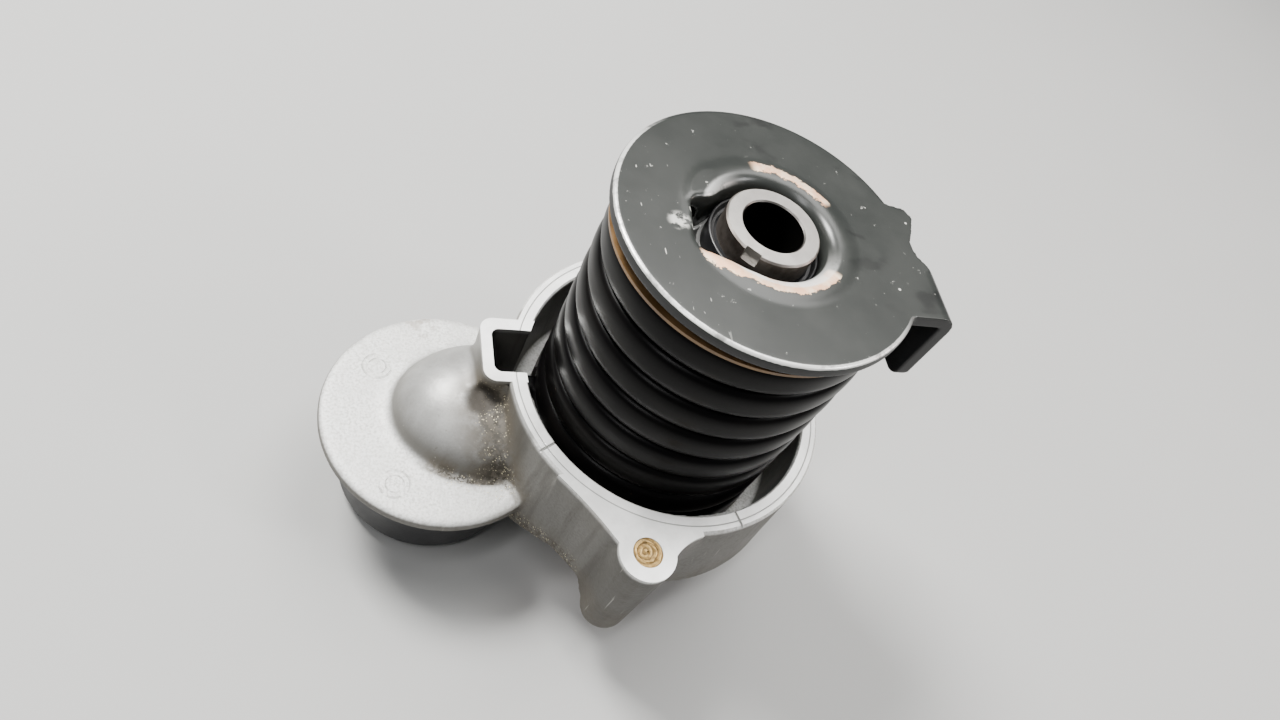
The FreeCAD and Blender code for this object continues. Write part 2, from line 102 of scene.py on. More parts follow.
class Paint:
    """A material under construction, with short names for common nodes."""

    def __init__(self, name):
        self.mat = bpy.data.materials.new(name)
        self.mat.use_nodes = True
        self.tree = self.mat.node_tree
        self.tree.nodes.clear()
        self.out = add(self.tree, "ShaderNodeOutputMaterial")
        self.at = add(self.tree, "ShaderNodeTexCoord").outputs["Object"]
        split = add(self.tree, "ShaderNodeSeparateXYZ", {0: self.at})
        self.x, self.y, self.z = split.outputs
        geometry = add(self.tree, "ShaderNodeNewGeometry")
        normal = add(self.tree, "ShaderNodeSeparateXYZ", {0: geometry.outputs["Normal"]})
        self.nz = normal.outputs[2]

    def noise(self, scale, detail=3.0, rough=0.55, at=None, distort=0.0):
        node = add(self.tree, "ShaderNodeTexNoise", {
            "Vector": at or self.at, "Scale": scale, "Detail": detail,
            "Roughness": rough, "Distortion": distort})
        return node.outputs["Fac"]

    def cells(self, scale):
        """Distance from the nearest of many scattered points."""
        node = add(self.tree, "ShaderNodeTexVoronoi", {"Vector": self.at, "Scale": scale})
        return node.outputs["Distance"]

    def calc(self, op, a, b=0.0, c=0.0, clamp=False):
        node = add(self.tree, "ShaderNodeMath", {0: a, 1: b, 2: c}, operation=op, use_clamp=clamp)
        return node.outputs[0]

    def chain(self, op, values):
        """One operation taken along a row of values, from left to right."""
        result = values[0]
        for value in values[1:]:
            result = self.calc(op, result, value)
        return result

    def times(self, *values):
        return self.chain("MULTIPLY", values)

    def plus(self, *values):
        return self.chain("ADD", values)

    def minus(self, *values):
        return self.chain("SUBTRACT", values)

    def most(self, *values):
        return self.chain("MAXIMUM", values)

    def step(self, value, low, high, to=(0.0, 1.0)):
        """Smooth step of value from low to high."""
        node = add(self.tree, "ShaderNodeMapRange", {
            "Value": value, "From Min": low, "From Max": high, "To Min": to[0], "To Max": to[1]},
            interpolation_type="SMOOTHSTEP")
        return node.outputs[0]

    def near(self, value, middle, outer, inner):
        """1 within inner of the middle value, fading to 0 at outer."""
        return self.step(self.calc("ABSOLUTE", self.minus(value, middle)), outer, inner)

    def scaled(self, scale, rotation=(0, 0, 0)):
        node = add(self.tree, "ShaderNodeMapping", {
            "Vector": self.at, "Scale": scale, "Rotation": rotation})
        return node.outputs[0]

    def mix(self, factor, a, b):
        """Mix of two colours."""
        node = add(self.tree, "ShaderNodeMix", data_type="RGBA")
        for socket, value in ((node.inputs[0], factor), (node.inputs[6], a), (node.inputs[7], b)):
            if isinstance(value, bpy.types.NodeSocket):
                self.tree.links.new(value, socket)
            elif isinstance(value, (int, float)):
                socket.default_value = value
            else:
                socket.default_value = (*value, 1.0)
        return node.outputs[2]

    def blend(self, factor, a, b):
        """Mix of two numbers."""
        return self.plus(self.times(self.minus(1.0, factor), a), self.times(factor, b))

    def radius(self, x=0.0, y=0.0):
        """Distance from an upright axis."""
        dx = self.minus(self.x, x)
        dy = self.minus(self.y, y)
        return self.calc("SQRT", self.plus(self.times(dx, dx), self.times(dy, dy)))

    def angle(self):
        """Angle in degrees about the pivot's axis."""
        return self.times(self.calc("ARCTAN2", self.y, self.x), 180 / math.pi)

    def vector(self, op, a, b):
        second = "Scale" if op == "SCALE" else 1
        result = "Value" if op in ("DOT_PRODUCT", "DISTANCE") else "Vector"
        return add(self.tree, "ShaderNodeVectorMath", {0: a, second: b}, operation=op).outputs[result]

    def segment(self, start, end):
        """Distance from a straight line between two points."""
        along = Vector(end) - Vector(start)
        arm = self.vector("SUBTRACT", self.at, start)
        dot = self.vector("DOT_PRODUCT", arm, along)
        part = self.calc("DIVIDE", dot, along.length_squared, clamp=True)
        return self.vector("DISTANCE", arm, self.vector("SCALE", along, part))

    def bump(self, height, distance, strength=1.0, normal=None):
        inputs = {"Height": height, "Distance": distance, "Strength": strength}
        if normal:
            inputs["Normal"] = normal
        return add(self.tree, "ShaderNodeBump", inputs).outputs[0]

    def finish(self, color, rough, metal=0.0, normal=None, **constants):
        """Join everything to the shader; constants are set on its own sockets."""
        shader = add(self.tree, "ShaderNodeBsdfPrincipled")
        links = {"Base Color": color, "Roughness": rough, "Metallic": metal, "Normal": normal}
        for key, value in links.items():
            if isinstance(value, bpy.types.NodeSocket):
                self.tree.links.new(value, shader.inputs[key])
            elif value is not None:
                shader.inputs[key].default_value = value
        for key, value in constants.items():
            shader.inputs[key.replace("_", " ")].default_value = value
        self.tree.links.new(shader.outputs[0], self.out.inputs[0])
        return self.mat


# ------------------------------------------------- places on the object, in metres

LUG_AT = upright_axis("lug_plug")
RIM_Z = -59.5 * MM            # machined rim of the spring cup
RIM_LINE_R = 0.0404           # step line in the middle of the rim
DISC_Z = -0.0806              # top of the backing disc, at the dome's foot
DOME_AT = (-0.0449, 0.0006)   # middle of the oval dome
DOME_HALF = (0.0235, 0.0205)  # its half length and half width
RING_PADS = ((-0.0705, 0.0136), (-0.0666, -0.0196))  # ejector marks on the disc
SMUDGE_AT = (-0.0594, 0.0274)                        # brown smudge at the disc's edge
RUBBED_AT = (-0.0215, -0.0010)                       # bright spot on the plate
HOLLOW = (-0.0475, -0.0038, -0.0668)                 # hollow beside the pocket, painted dark as shade and dirt
# the lines along which grime and painted shade gather, each from one end to the other
CREASE = ((-0.0455, -0.0040, -0.0660), (-0.0420, -0.0190, -0.0810))
DOME_FOOT = ((-0.0425, -0.0215, -0.0815), (-0.0560, -0.0165, -0.0806))
WALL_FOOT = ((-0.0390, -0.0230, -0.0900), (-0.0230, -0.0370, -0.0850))


# ------------------------------------------------------- cast aluminium paint


def sandy_skin(p, grain, flow, broad):
    """Bright skin of the die casting, with brown stains and one smudge on the disc."""
    skin = p.mix(p.step(flow, 0.3, 0.72), (0.60, 0.60, 0.585), (0.78, 0.78, 0.765))
    skin = p.mix(p.step(grain, 0.34, 0.6), (0.50, 0.495, 0.475), skin)
    stain = p.times(p.step(broad, 0.55, 0.72), 0.3)
    skin = p.mix(stain, skin, (0.42, 0.38, 0.31))
    smudge = p.step(p.radius(*SMUDGE_AT), 0.006, 0.001)
    smudge = p.times(smudge, p.step(p.noise(300, 4), 0.4, 0.6), 0.6)
    return p.mix(smudge, skin, (0.22, 0.17, 0.13))


def dome_mask(p):
    """1 on the oval dome above the disc."""
    ex = p.calc("DIVIDE", p.minus(p.x, DOME_AT[0]), DOME_HALF[0])
    ey = p.calc("DIVIDE", p.minus(p.y, DOME_AT[1]), DOME_HALF[1])
    oval = p.plus(p.times(ex, ex), p.times(ey, ey))
    return p.times(p.step(oval, 1.05, 0.82), p.step(p.z, DISC_Z, DISC_Z + 0.0012))


def dome_skin(p, flow, broad):
    """The dome is as cast but rubbed smooth; its darker grey is partly painted shade."""
    # painted shade in part: the dome a darker grey than the disc
    skin = p.mix(p.step(flow, 0.3, 0.7), (0.25, 0.247, 0.238), (0.34, 0.338, 0.33))
    return p.mix(p.times(p.step(broad, 0.5, 0.65), 0.6), skin, (0.19, 0.168, 0.142))


def wall_shade_and_marks(p, wall, color):
    """Walls painted darker as shade, darkest round the lug, with upright streaks and scratches."""
    # painted shade: upright faces darker than the disc
    color = p.mix(p.times(wall, 0.86), color, (0.098, 0.093, 0.082))
    # painted shade: the lug's sides darkest
    boss_shade = p.times(p.step(p.radius(*LUG_AT), 0.0125, 0.0070), wall)
    color = p.mix(p.times(boss_shade, 0.6), color, (0.048, 0.045, 0.039))
    streak = p.noise(1.0, 3, 0.6, at=p.scaled((260, 260, 22)))
    streak = p.times(wall, p.step(streak, 0.50, 0.72, (0, 0.4)))
    color = p.mix(streak, color, (0.060, 0.053, 0.043))
    scratch = p.noise(1.0, 2, 0.5, at=p.scaled((1500, 1500, 45), (0.15, 0, 0.4)))
    scratch = p.times(p.step(scratch, 0.70, 0.76), wall, 0.5)
    return p.mix(scratch, color, (0.52, 0.50, 0.46))


def grime_and_shade(p, wall, dome, color):
    """Grime, grit and gold specks with painted shade where dome, disc and cup meet: colour,
    dirt-and-shade mask, speck mask.
    """
    crease = p.segment(*CREASE)
    foot = p.segment(*DOME_FOOT)
    base = p.segment(*WALL_FOOT)
    # painted shade mixed with grime along the crease, the dome's foot and the wall's foot
    beside = p.most(p.step(crease, 0.0130, 0.0030), p.step(foot, 0.0075, 0.0020))
    close = p.most(p.step(crease, 0.0066, 0.0020), p.step(foot, 0.0040, 0.0010),
                   p.times(p.step(base, 0.0055, 0.0010), 0.8))
    shelf = p.blend(dome, p.step(p.nz, 0.985, 0.90), 0.9)
    film = p.step(p.noise(140, 5, 0.7), 0.24, 0.56)
    grit = p.times(p.step(p.noise(620, 5, 0.8), 0.46, 0.53), close)
    # the walls darker towards the bottom
    low = p.times(p.step(p.z, -0.0780, -0.0870), wall, 0.4)
    dirt_and_shade = p.times(p.most(beside, low), shelf, film)
    dirt_and_shade = p.most(p.times(dirt_and_shade, 0.9), p.times(grit, shelf))
    fleck = p.step(p.noise(210, 4, 0.75), 0.62, 0.70)
    fleck = p.times(fleck, dome, p.step(crease, 0.026, 0.010))
    dirt_and_shade = p.most(dirt_and_shade, p.times(fleck, 0.55))
    soil_and_shade = p.mix(grit, (0.100, 0.082, 0.056), (0.034, 0.026, 0.014))
    color = p.mix(dirt_and_shade, color, soil_and_shade)
    gold = p.times(p.step(p.cells(1500), 0.30, 0.20), p.step(p.noise(420, 4, 0.7), 0.47, 0.53),
                   close, p.step(p.z, -0.0600, -0.0640))
    color = p.mix(gold, color, (0.80, 0.72, 0.50))
    # painted shade and dirt: the hollow nearly black
    dark = p.times(p.step(p.vector("DISTANCE", p.at, HOLLOW), 0.0055, 0.0024), 0.92)
    color = p.mix(dark, color, (0.030, 0.024, 0.017))
    return color, p.most(dirt_and_shade, dark), gold


def ejector_rings(p):
    """Mask of two thin worn rings on each round ejector mark."""
    rings = []
    for x, y in RING_PADS:
        away = p.radius(x, y)
        for size, width in ((0.0036, 0.0003), (0.0022, 0.0002)):
            rings.append(p.near(away, size, width, width * 0.3))
    worn = p.step(p.noise(260, 3), 0.36, 0.56)
    return p.times(p.most(*rings), worn, p.step(p.nz, 0.8, 0.95))


def cast_aluminium():
    """Raw die-cast skin: sandy faces, machined rim, grey dome, walls and creases darkened with painted
    shade, and grime.
    """
    p = Paint("cast_aluminium")
    grain = p.noise(1500, 4, 0.6)
    lumps = p.noise(520, 3, 0.5)
    flow = p.noise(90, 4, 0.6, distort=0.6)
    broad = p.noise(34, 4, 0.6)
    dome = dome_mask(p)
    wall = p.times(p.step(p.nz, 0.75, 0.35), p.step(p.z, -0.0600, -0.0615))
    color = p.mix(p.times(dome, 0.85), sandy_skin(p, grain, flow, broad), dome_skin(p, flow, broad))
    color = wall_shade_and_marks(p, wall, color)
    color, dirt_and_shade, gold = grime_and_shade(p, wall, dome, color)
    rim = p.times(p.step(p.z, -0.0601, -0.0597), p.step(p.nz, 0.7, 0.95))
    line = p.times(p.near(p.radius(), RIM_LINE_R, 0.00018, 0.00008), rim)
    bright = p.mix(p.step(p.noise(160, 4), 0.35, 0.65), (0.82, 0.82, 0.81), (0.95, 0.95, 0.94))
    color = p.mix(p.times(rim, 0.95), color, bright)
    color = p.mix(p.times(line, 0.7), color, (0.16, 0.155, 0.145))
    rings = ejector_rings(p)
    color = p.mix(p.times(rings, 0.5), color, (0.33, 0.32, 0.29))
    rough = p.blend(dome, p.step(flow, 0.3, 0.7, (0.52, 0.66)), 0.40)
    rough = p.blend(dirt_and_shade, p.blend(rim, rough, 0.34), 0.7)
    calm = p.most(rim, p.times(dome, 0.75))
    height = p.plus(p.times(grain, 0.45), p.times(lumps, 0.8))
    height = p.times(height, p.minus(1.0, p.times(calm, 0.9)))
    height = p.minus(height, p.times(rings, 0.9), p.times(line, 1.4))
    cuts = p.noise(1.0, 2, 0.5, at=p.scaled((900, 60, 60), (0, 0, 0.7)))
    height = p.plus(height, p.times(cuts, rim, 0.15), p.times(gold, 0.8))
    metal = p.blend(rim, p.blend(dirt_and_shade, 0.4, 0.05), 0.45)
    return p.finish(color, rough, metal, p.bump(height, 0.00022, 0.7))


# --------------------------------------------------------- base plate paint


def rubbed_ring(p, r):
    """Mask of the two ragged arcs round the well where the coat is rubbed off."""
    deg = p.angle()
    ragged = p.times(p.minus(p.noise(380, 5, 0.75), 0.5), 0.0042)
    edge = p.plus(r, ragged)
    band = p.times(p.step(edge, 0.0160, 0.0164), p.step(edge, 0.0188, 0.0185))
    sweep = p.times(p.step(deg, 26, 32), p.step(deg, 96, 88))
    upper = p.times(band, sweep)
    outer = p.plus(0.0172, p.times(p.step(deg, -120, -150), 0.0028))
    band = p.times(p.step(p.minus(edge, outer), 0.0003, 0.0), p.step(p.z, -0.0006, 0.0001))
    sweep = p.times(p.step(deg, -158, -154), p.step(deg, -40, -46))
    lower = p.times(band, sweep, p.step(r, 0.0130, 0.0136))
    return p.most(upper, lower)


def nicks(p, flat, bare):
    """Mask of thin nicks, scuffs, one rubbed spot and small dots in the coat."""
    nick = p.noise(1.0, 2, 0.5, at=p.scaled((900, 170, 300), (0, 0, 0.9)))
    nick = p.times(p.step(p.x, -0.014, -0.022), flat, p.step(nick, 0.70, 0.73))
    scuff = p.times(p.step(p.noise(330, 4, 0.7), 0.66, 0.72), 0.6)
    spot = p.step(p.radius(*RUBBED_AT), 0.0030, 0.0012)
    spot = p.times(spot, p.step(p.noise(500, 3), 0.42, 0.56))
    dots = p.times(p.step(p.cells(160), 0.07, 0.03), flat)
    marks = p.most(nick, p.times(p.most(scuff, spot), flat), dots)
    return p.times(marks, p.minus(1.0, bare))


def rolled_edge_highlight(p, r):
    """Mask of the plate's two rolled edges, on the side towards the pulley and the lug: worn bare edges
    and a painted highlight.
    """
    bend = p.times(p.step(p.nz, 0.45, 0.62), p.step(p.nz, 0.998, 0.97))
    side = p.step(p.plus(p.x, p.y), 0.012, -0.012)
    edges = p.most(p.step(r, 0.0325, 0.0335), p.step(r, 0.0165, 0.0155))
    patchy = p.step(p.noise(160, 4, 0.7), 0.32, 0.5, (0.35, 1.0))
    return p.times(bend, side, edges, patchy)


def coated_plate():
    """Semi-gloss dark coat with rubbed bare arcs, nicks and stains; its steep sides painted black as
    shade and its rolled edges lightened as a painted highlight.
    """
    p = Paint("coated_steel")
    r = p.radius()
    flat = p.step(p.nz, 0.75, 0.97)
    cloud = p.noise(45, 4, 0.6)
    coat = p.mix(p.step(cloud, 0.35, 0.7), (0.017, 0.019, 0.0175), (0.028, 0.030, 0.028))
    outside = p.step(p.most(r, p.times(p.z, -2.2)), 0.0200, 0.0260)
    # painted shade: steep sides outside the well made near black
    steep_shade = p.times(p.step(p.nz, 0.45, 0.05), outside)
    coat = p.mix(p.times(steep_shade, 0.9), coat, (0.004, 0.004, 0.005))
    patch = p.noise(1.0, 3, 0.6, at=p.scaled((62, 120, 60), (0, 0, 0.5)), distort=0.3)
    tab_side = p.step(p.plus(p.x, p.times(p.y, 0.6)), 0.006, 0.022)
    stain = p.times(tab_side, flat, p.step(patch, 0.56, 0.66))
    coat = p.mix(p.times(stain, 0.55), coat, (0.008, 0.008, 0.008))
    bare = rubbed_ring(p, r)
    metal = p.mix(p.step(p.noise(300, 4, 0.6), 0.40, 0.62), (0.80, 0.47, 0.29), (0.86, 0.66, 0.48))
    color = p.mix(bare, coat, metal)
    color = p.mix(nicks(p, flat, bare), color, (0.50, 0.50, 0.47))
    edge_highlight = rolled_edge_highlight(p, r)
    # painted highlight and wear: rolled edges on one side lightened
    color = p.mix(p.times(edge_highlight, 0.9), color, (0.80, 0.80, 0.78))
    rough = p.blend(bare, 0.30, 0.5)
    rough = p.blend(stain, rough, 0.29)
    rough = p.blend(steep_shade, rough, 0.55)
    height = p.minus(p.times(p.noise(260, 2), 0.3), p.times(bare, 0.6))
    normal = p.bump(height, 0.00012, 0.5, p.bump(p.noise(700, 2), 0.000012, 0.3))
    metalness = p.most(p.times(bare, 0.4), p.times(edge_highlight, 0.35))
    return p.finish(color, rough, metalness, normal)


# ------------------------------------------------------------- other paints


def spring_steel():
    """Black coated flat wire: faint clouds and grain, and a few dull brown specks."""
    p = Paint("spring_steel")
    cloud = p.noise(60, 4, 0.6)
    color = p.mix(p.step(cloud, 0.4, 0.8), (0.0022, 0.0020, 0.0022), (0.0052, 0.0046, 0.0042))
    speck = p.times(p.step(p.cells(240), 0.06, 0.03), p.step(p.noise(50, 2), 0.52, 0.6))
    color = p.mix(p.times(speck, 0.35), color, (0.12, 0.08, 0.06))
    rough = p.blend(speck, 0.33, 0.55)
    normal = p.bump(p.noise(2600, 2), 0.000006, 0.3)
    return p.finish(color, rough, 0.0, normal, Specular_IOR_Level=0.085)


def bare_steel():
    """Turned steel: bright ground end, brownish side, bore painted near black as shade."""
    p = Paint("bare_steel")
    r = p.radius()
    top = p.step(p.nz, 0.6, 0.95)
    turning = add(p.tree, "ShaderNodeCombineXYZ", {0: p.times(r, 9000), 1: p.times(p.z, 2000)})
    rings = p.noise(1.0, 2, 0.5, at=turning.outputs[0])
    wear = p.noise(240, 4, 0.6)
    end = p.mix(p.step(wear, 0.35, 0.65), (0.55, 0.52, 0.495), (0.64, 0.61, 0.58))
    side = p.mix(p.step(wear, 0.35, 0.65), (0.15, 0.125, 0.11), (0.27, 0.235, 0.21))
    key_slot = p.times(p.step(r, 0.01045, 0.01025), p.step(r, 0.0088, 0.0092))
    side = p.mix(key_slot, side, (0.50, 0.48, 0.45))
    # painted shade: the bore near black
    side = p.mix(p.step(r, 0.0076, 0.0072), side, (0.012, 0.011, 0.010))
    rough = p.blend(top, 0.38, 0.31)
    normal = p.bump(rings, 0.00004, 0.4, p.bump(p.noise(1600, 2), 0.00004, 0.3))
    return p.finish(p.mix(top, side, end), rough, 0.9, normal)


def moulded(name, dark, light, rough):
    """Moulded plastic or rubber with a fine texture and uneven sheen."""
    p = Paint(name)
    cloud = p.noise(120, 4, 0.6)
    color = p.mix(p.step(cloud, 0.35, 0.68), dark, light)
    sheen = p.step(cloud, 0.3, 0.7, (rough - 0.07, rough + 0.08))
    normal = p.bump(p.noise(1300, 3, 0.6), 0.00008, 0.5, p.bump(cloud, 0.0003, 0.2))
    return p.finish(color, sheen, 0.0, normal)


def brass():
    """Dull brass end with uneven turning marks round an off-centre point."""
    p = Paint("brass_plug")
    x, y = LUG_AT
    wobble = p.times(p.noise(420, 3), 7.0)
    turning = p.times(p.radius(x - 0.0006, y + 0.0004), 5600)
    rings = p.calc("SINE", p.plus(turning, wobble))
    grime = p.noise(900, 4, 0.65)
    color = p.mix(p.step(grime, 0.35, 0.6), (0.27, 0.165, 0.055), (0.48, 0.32, 0.12))
    color = p.mix(p.step(rings, 0.45, 0.95, (0, 0.75)), color, (0.085, 0.05, 0.02))
    dull = p.step(p.noise(520, 4, 0.65), 0.56, 0.68, (0, 0.7))
    color = p.mix(dull, color, (0.12, 0.085, 0.045))
    return p.finish(color, 0.45, 0.6, p.bump(p.plus(rings, grime), 0.0001, 0.5))


def ground_steel(name, color, rough):
    """Plated or ground steel with fine scratches."""
    p = Paint(name)
    fine = p.noise(1.0, 2, 0.5, at=p.scaled((300, 300, 4000)))
    wear = p.noise(300, 4, 0.6)
    dark = tuple(c * 0.7 for c in color)
    shade = p.mix(p.step(wear, 0.35, 0.65), dark, color)
    sheen = p.step(wear, 0.3, 0.7, (rough, rough + 0.12))
    return p.finish(shade, sheen, 1.0, p.bump(fine, 0.00003, 0.4))


paints = {
    "cast_aluminium": cast_aluminium(),
    "coated_steel": coated_plate(),
    "spring_steel": spring_steel(),
    "bare_steel": bare_steel(),
    "brass_plug": brass(),
    "seal_rubber": moulded("seal_rubber", (0.010, 0.010, 0.011), (0.022, 0.022, 0.023), 0.42),
    "tan_nylon": moulded("tan_nylon", (0.13, 0.070, 0.026), (0.22, 0.125, 0.05), 0.42),
    "dark_nylon": moulded("dark_nylon", (0.025, 0.023, 0.021), (0.055, 0.05, 0.045), 0.5),
    "bush_liner": moulded("bush_liner", (0.10, 0.09, 0.08), (0.2, 0.18, 0.15), 0.5),
    "cage_nylon": moulded("cage_nylon", (0.2, 0.14, 0.07), (0.3, 0.22, 0.13), 0.5),
    "pulley_plastic": moulded("pulley_plastic", (0.012, 0.012, 0.013), (0.028, 0.028, 0.03), 0.45),
    "cap_plastic": moulded("cap_plastic", (0.014, 0.014, 0.015), (0.03, 0.03, 0.032), 0.4),
    "zinc_bolt": ground_steel("zinc_bolt", (0.58, 0.58, 0.55), 0.3),
    "bearing_steel": ground_steel("bearing_steel", (0.62, 0.62, 0.63), 0.29),
}

for node_name, cad_object in frame["nodes"].items():
    for place in cad_object.material_slots:
        place.material = paints[slots[node_name]]


# ------------------------------------------------------------------ pieces


def new_piece(name, mesh, slot_name):
    """Object from a mesh, painted with its material slot's finish."""
    obj = bpy.data.objects.new(name, mesh)
    bpy.context.scene.collection.objects.link(obj)
    obj.data.materials.clear()
    obj.data.materials.append(paints[slot_name])
    return obj


# --------------------------------------------------- torsion spring, in millimetres

SPRING_R = face_mm("torsion_spring", HIGHEST, 1)
TOP_Z = face_mm("torsion_spring", HIGHEST, 2)
WIRE_W = 5.5                  # flat wire, across and along the pivot
WIRE_H = 8.8
SHOULDER_POWER = 2 / 2.8      # power of the rounded outer side
SHOULDER_STEPS = 28
CORNER_R = 0.9                # corners on the inner side
CORNER_STEPS = 5
COIL_R = SPRING_R - WIRE_W / 2
PITCH = 9.3                   # from one coil to the next
TOP_DEG = 2.0                 # where the top and bottom tangs point
LOW_DEG = 174.0
TURNS = 7 + (TOP_DEG + 360 - LOW_DEG) / 360
STEPS_PER_TURN = 300
BEND_R = 2.9                  # turn from the coil out into a tang
BEND_SHIFT = 0.55             # how far the turn's centre stands back along the coil
BEND_STEPS = 8
TOP_REACH = 38.6              # how far from the pivot each tang ends
LOW_REACH = 44.2
TANG_STEPS = 6
TIP = 1.2                     # rounded end of a tang


def wire_section():
    """Outline of the flat wire: round-shouldered outside, small corners inside."""
    half_w = WIRE_W / 2
    half_h = WIRE_H / 2
    points = []
    for i in range(SHOULDER_STEPS + 1):
        a = math.radians(-90 + 180 * i / SHOULDER_STEPS)
        across = max(0.0, math.cos(a)) ** SHOULDER_POWER
        upright = math.copysign(abs(math.sin(a)) ** SHOULDER_POWER, a)
        points.append((half_w * across, half_h * upright))
    for start, side in ((90, 1), (180, -1)):
        for i in range(CORNER_STEPS + 1):
            a = math.radians(start + 90 * i / CORNER_STEPS)
            centre = side * (half_h - CORNER_R)
            points.append((-half_w + CORNER_R + CORNER_R * math.cos(a), centre + CORNER_R * math.sin(a)))
    return points


def tang_path(deg, way, reach, z):
    """Wire that bends out of the coil at an angle and ends in a rounded tip."""
    a = math.radians(deg)
    radial = Vector((math.cos(a), math.sin(a), 0))
    tangent = Vector((-math.sin(a), math.cos(a), 0)) * way
    centre = radial * (COIL_R + BEND_R) - tangent * BEND_SHIFT
    path = []
    for i in range(BEND_STEPS + 1):
        b = math.radians(90 * i / BEND_STEPS)
        spot = centre - radial * BEND_R * math.cos(b) + tangent * BEND_R * math.sin(b)
        path.append((spot, radial * math.cos(b) - tangent * math.sin(b), z, 1.0))
    start = path[-1][0]
    straight = reach - (COIL_R + BEND_R) - TIP
    for i in range(1, TANG_STEPS + 1):
        path.append((start + radial * straight * i / TANG_STEPS, -tangent, z, 1.0))
    for f in (0.35, 0.6, 0.8, 0.93, 1.0):
        path.append((start + radial * (straight + TIP * f), -tangent, z, math.sqrt(1 - f * f * 0.9)))
    return path


def spring_path():
    """Wire centre points, outward directions, heights and sizes, from top tang to bottom tang."""
    z_top = TOP_Z - WIRE_H / 2
    drop = PITCH * TURNS
    top = tang_path(TOP_DEG, 1, TOP_REACH, z_top)
    low = tang_path(LOW_DEG, -1, LOW_REACH, z_top - drop)
    coil = []
    steps = int(TURNS * STEPS_PER_TURN)
    for i in range(1, steps):
        f = i / steps
        a = math.radians(TOP_DEG - 360 * TURNS * f)
        radial = Vector((math.cos(a), math.sin(a), 0))
        coil.append((radial * COIL_R, radial, z_top - drop * f, 1.0))
    return list(reversed(top)) + coil + low


def swept(path, section, name):
    """Closed mesh of a section carried along a path, both in millimetres."""
    bm = bmesh.new()
    rows = []
    for spot, radial, z, size in path:
        row = []
        for u, v in section:
            point = spot + radial * u * size + Vector((0, 0, z + v * size))
            row.append(bm.verts.new(point * MM))
        rows.append(row)
    count = len(section)
    for a, b in zip(rows, rows[1:]):
        for i in range(count):
            after = (i + 1) % count
            bm.faces.new((a[i], a[after], b[after], b[i]))
    bm.faces.new(rows[0])
    bm.faces.new(reversed(rows[-1]))
    bmesh.ops.recalc_face_normals(bm, faces=bm.faces)
    mesh = bpy.data.meshes.new(name)
    bm.to_mesh(mesh)
    bm.free()
    return mesh


def build_spring():
    """Wire of the spring, in place of the CAD spring."""
    mesh = swept(spring_path(), wire_section(), "torsion_spring_wire")
    mesh.polygons.foreach_set("use_smooth", [True] * len(mesh.polygons))
    spring = new_piece("torsion_spring_wire", mesh, slots["torsion_spring"])
    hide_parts("torsion_spring")
    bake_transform(spring)


# -------------------------------------------------------- mesh helpers for skins


def smoothstep(value, low, high):
    t = np.clip((value - low) / (high - low), 0, 1)
    return t * t * (3 - 2 * t)


def vertex_array(mesh):
    co = np.empty(len(mesh.vertices) * 3)
    mesh.vertices.foreach_get("co", co)
    return co.reshape(-1, 3)


def vertex_normals(mesh):
    no = np.empty(len(mesh.vertices) * 3)
    mesh.vertices.foreach_get("normal", no)
    return no.reshape(-1, 3)


def edge_array(mesh):
    ends = np.empty(len(mesh.edges) * 2, dtype=np.int64)
    mesh.edges.foreach_get("vertices", ends)
    return ends.reshape(-1, 2)


def put_vertices(mesh, co):
    mesh.vertices.foreach_set("co", co.ravel())
    mesh.update()


def round_axis(co, x=0.0, y=0.0):
    """Each point's distance from an upright axis."""
    return np.hypot(co[:, 0] - x, co[:, 1] - y)


def degrees_round(co):
    """Each point's angle about the pivot's axis."""
    return np.degrees(np.arctan2(co[:, 1], co[:, 0]))


def neighbour_mean(co, ends, count):
    total = np.zeros_like(co)
    for axis in range(3):
        total[:, axis] = np.bincount(ends[:, 0], co[ends[:, 1], axis], len(co))
        total[:, axis] += np.bincount(ends[:, 1], co[ends[:, 0], axis], len(co))
    return total / count[:, None]


def fill_corners(mesh, weight, rounds, erode=0.06):
    """Soften inside corners into cast fillets; outside edges move only by the erode share."""
    ends = edge_array(mesh)
    co = vertex_array(mesh)
    count = np.bincount(ends.ravel(), minlength=len(co)).astype(float)
    for i in range(rounds):
        if i % 8 == 0:
            put_vertices(mesh, co)
            normal = vertex_normals(mesh)
        pull = neighbour_mean(co, ends, count) - co
        outward = np.sum(pull * normal, axis=1) > 0
        co = co + pull * (weight * np.where(outward, 0.6, erode))[:, None]
    put_vertices(mesh, co)


def even_smooth(mesh, rounds):
    """Take the voxel steps out of every surface alike."""
    fill_corners(mesh, np.full(len(mesh.vertices), 0.5), rounds, 0.5)


def modified(obj, kind, **props):
    """Apply one modifier and leave its result in the object."""
    mod = obj.modifiers.new(kind, kind)
    for key, value in props.items():
        setattr(mod, key, value)
    bpy.context.view_layer.update()
    done = bpy.data.meshes.new_from_object(obj.evaluated_get(bpy.context.evaluated_depsgraph_get()))
    obj.modifiers.clear()
    obj.data = done
    return done


def keep_side(mesh, height, above):
    """Cut a mesh at a height and keep one side."""
    bm = bmesh.new()
    bm.from_mesh(mesh)
    everything = bm.verts[:] + bm.edges[:] + bm.faces[:]
    bmesh.ops.bisect_plane(bm, geom=everything, plane_co=(0, 0, height), plane_no=(0, 0, 1),
                           clear_inner=above, clear_outer=not above)
    bm.to_mesh(mesh)
    bm.free()


def joined(first, second, name):
    """One mesh from two."""
    bm = bmesh.new()
    bm.from_mesh(first)
    bm.from_mesh(second)
    mesh = bpy.data.meshes.new(name)
    bm.to_mesh(mesh)
    bm.free()
    return mesh


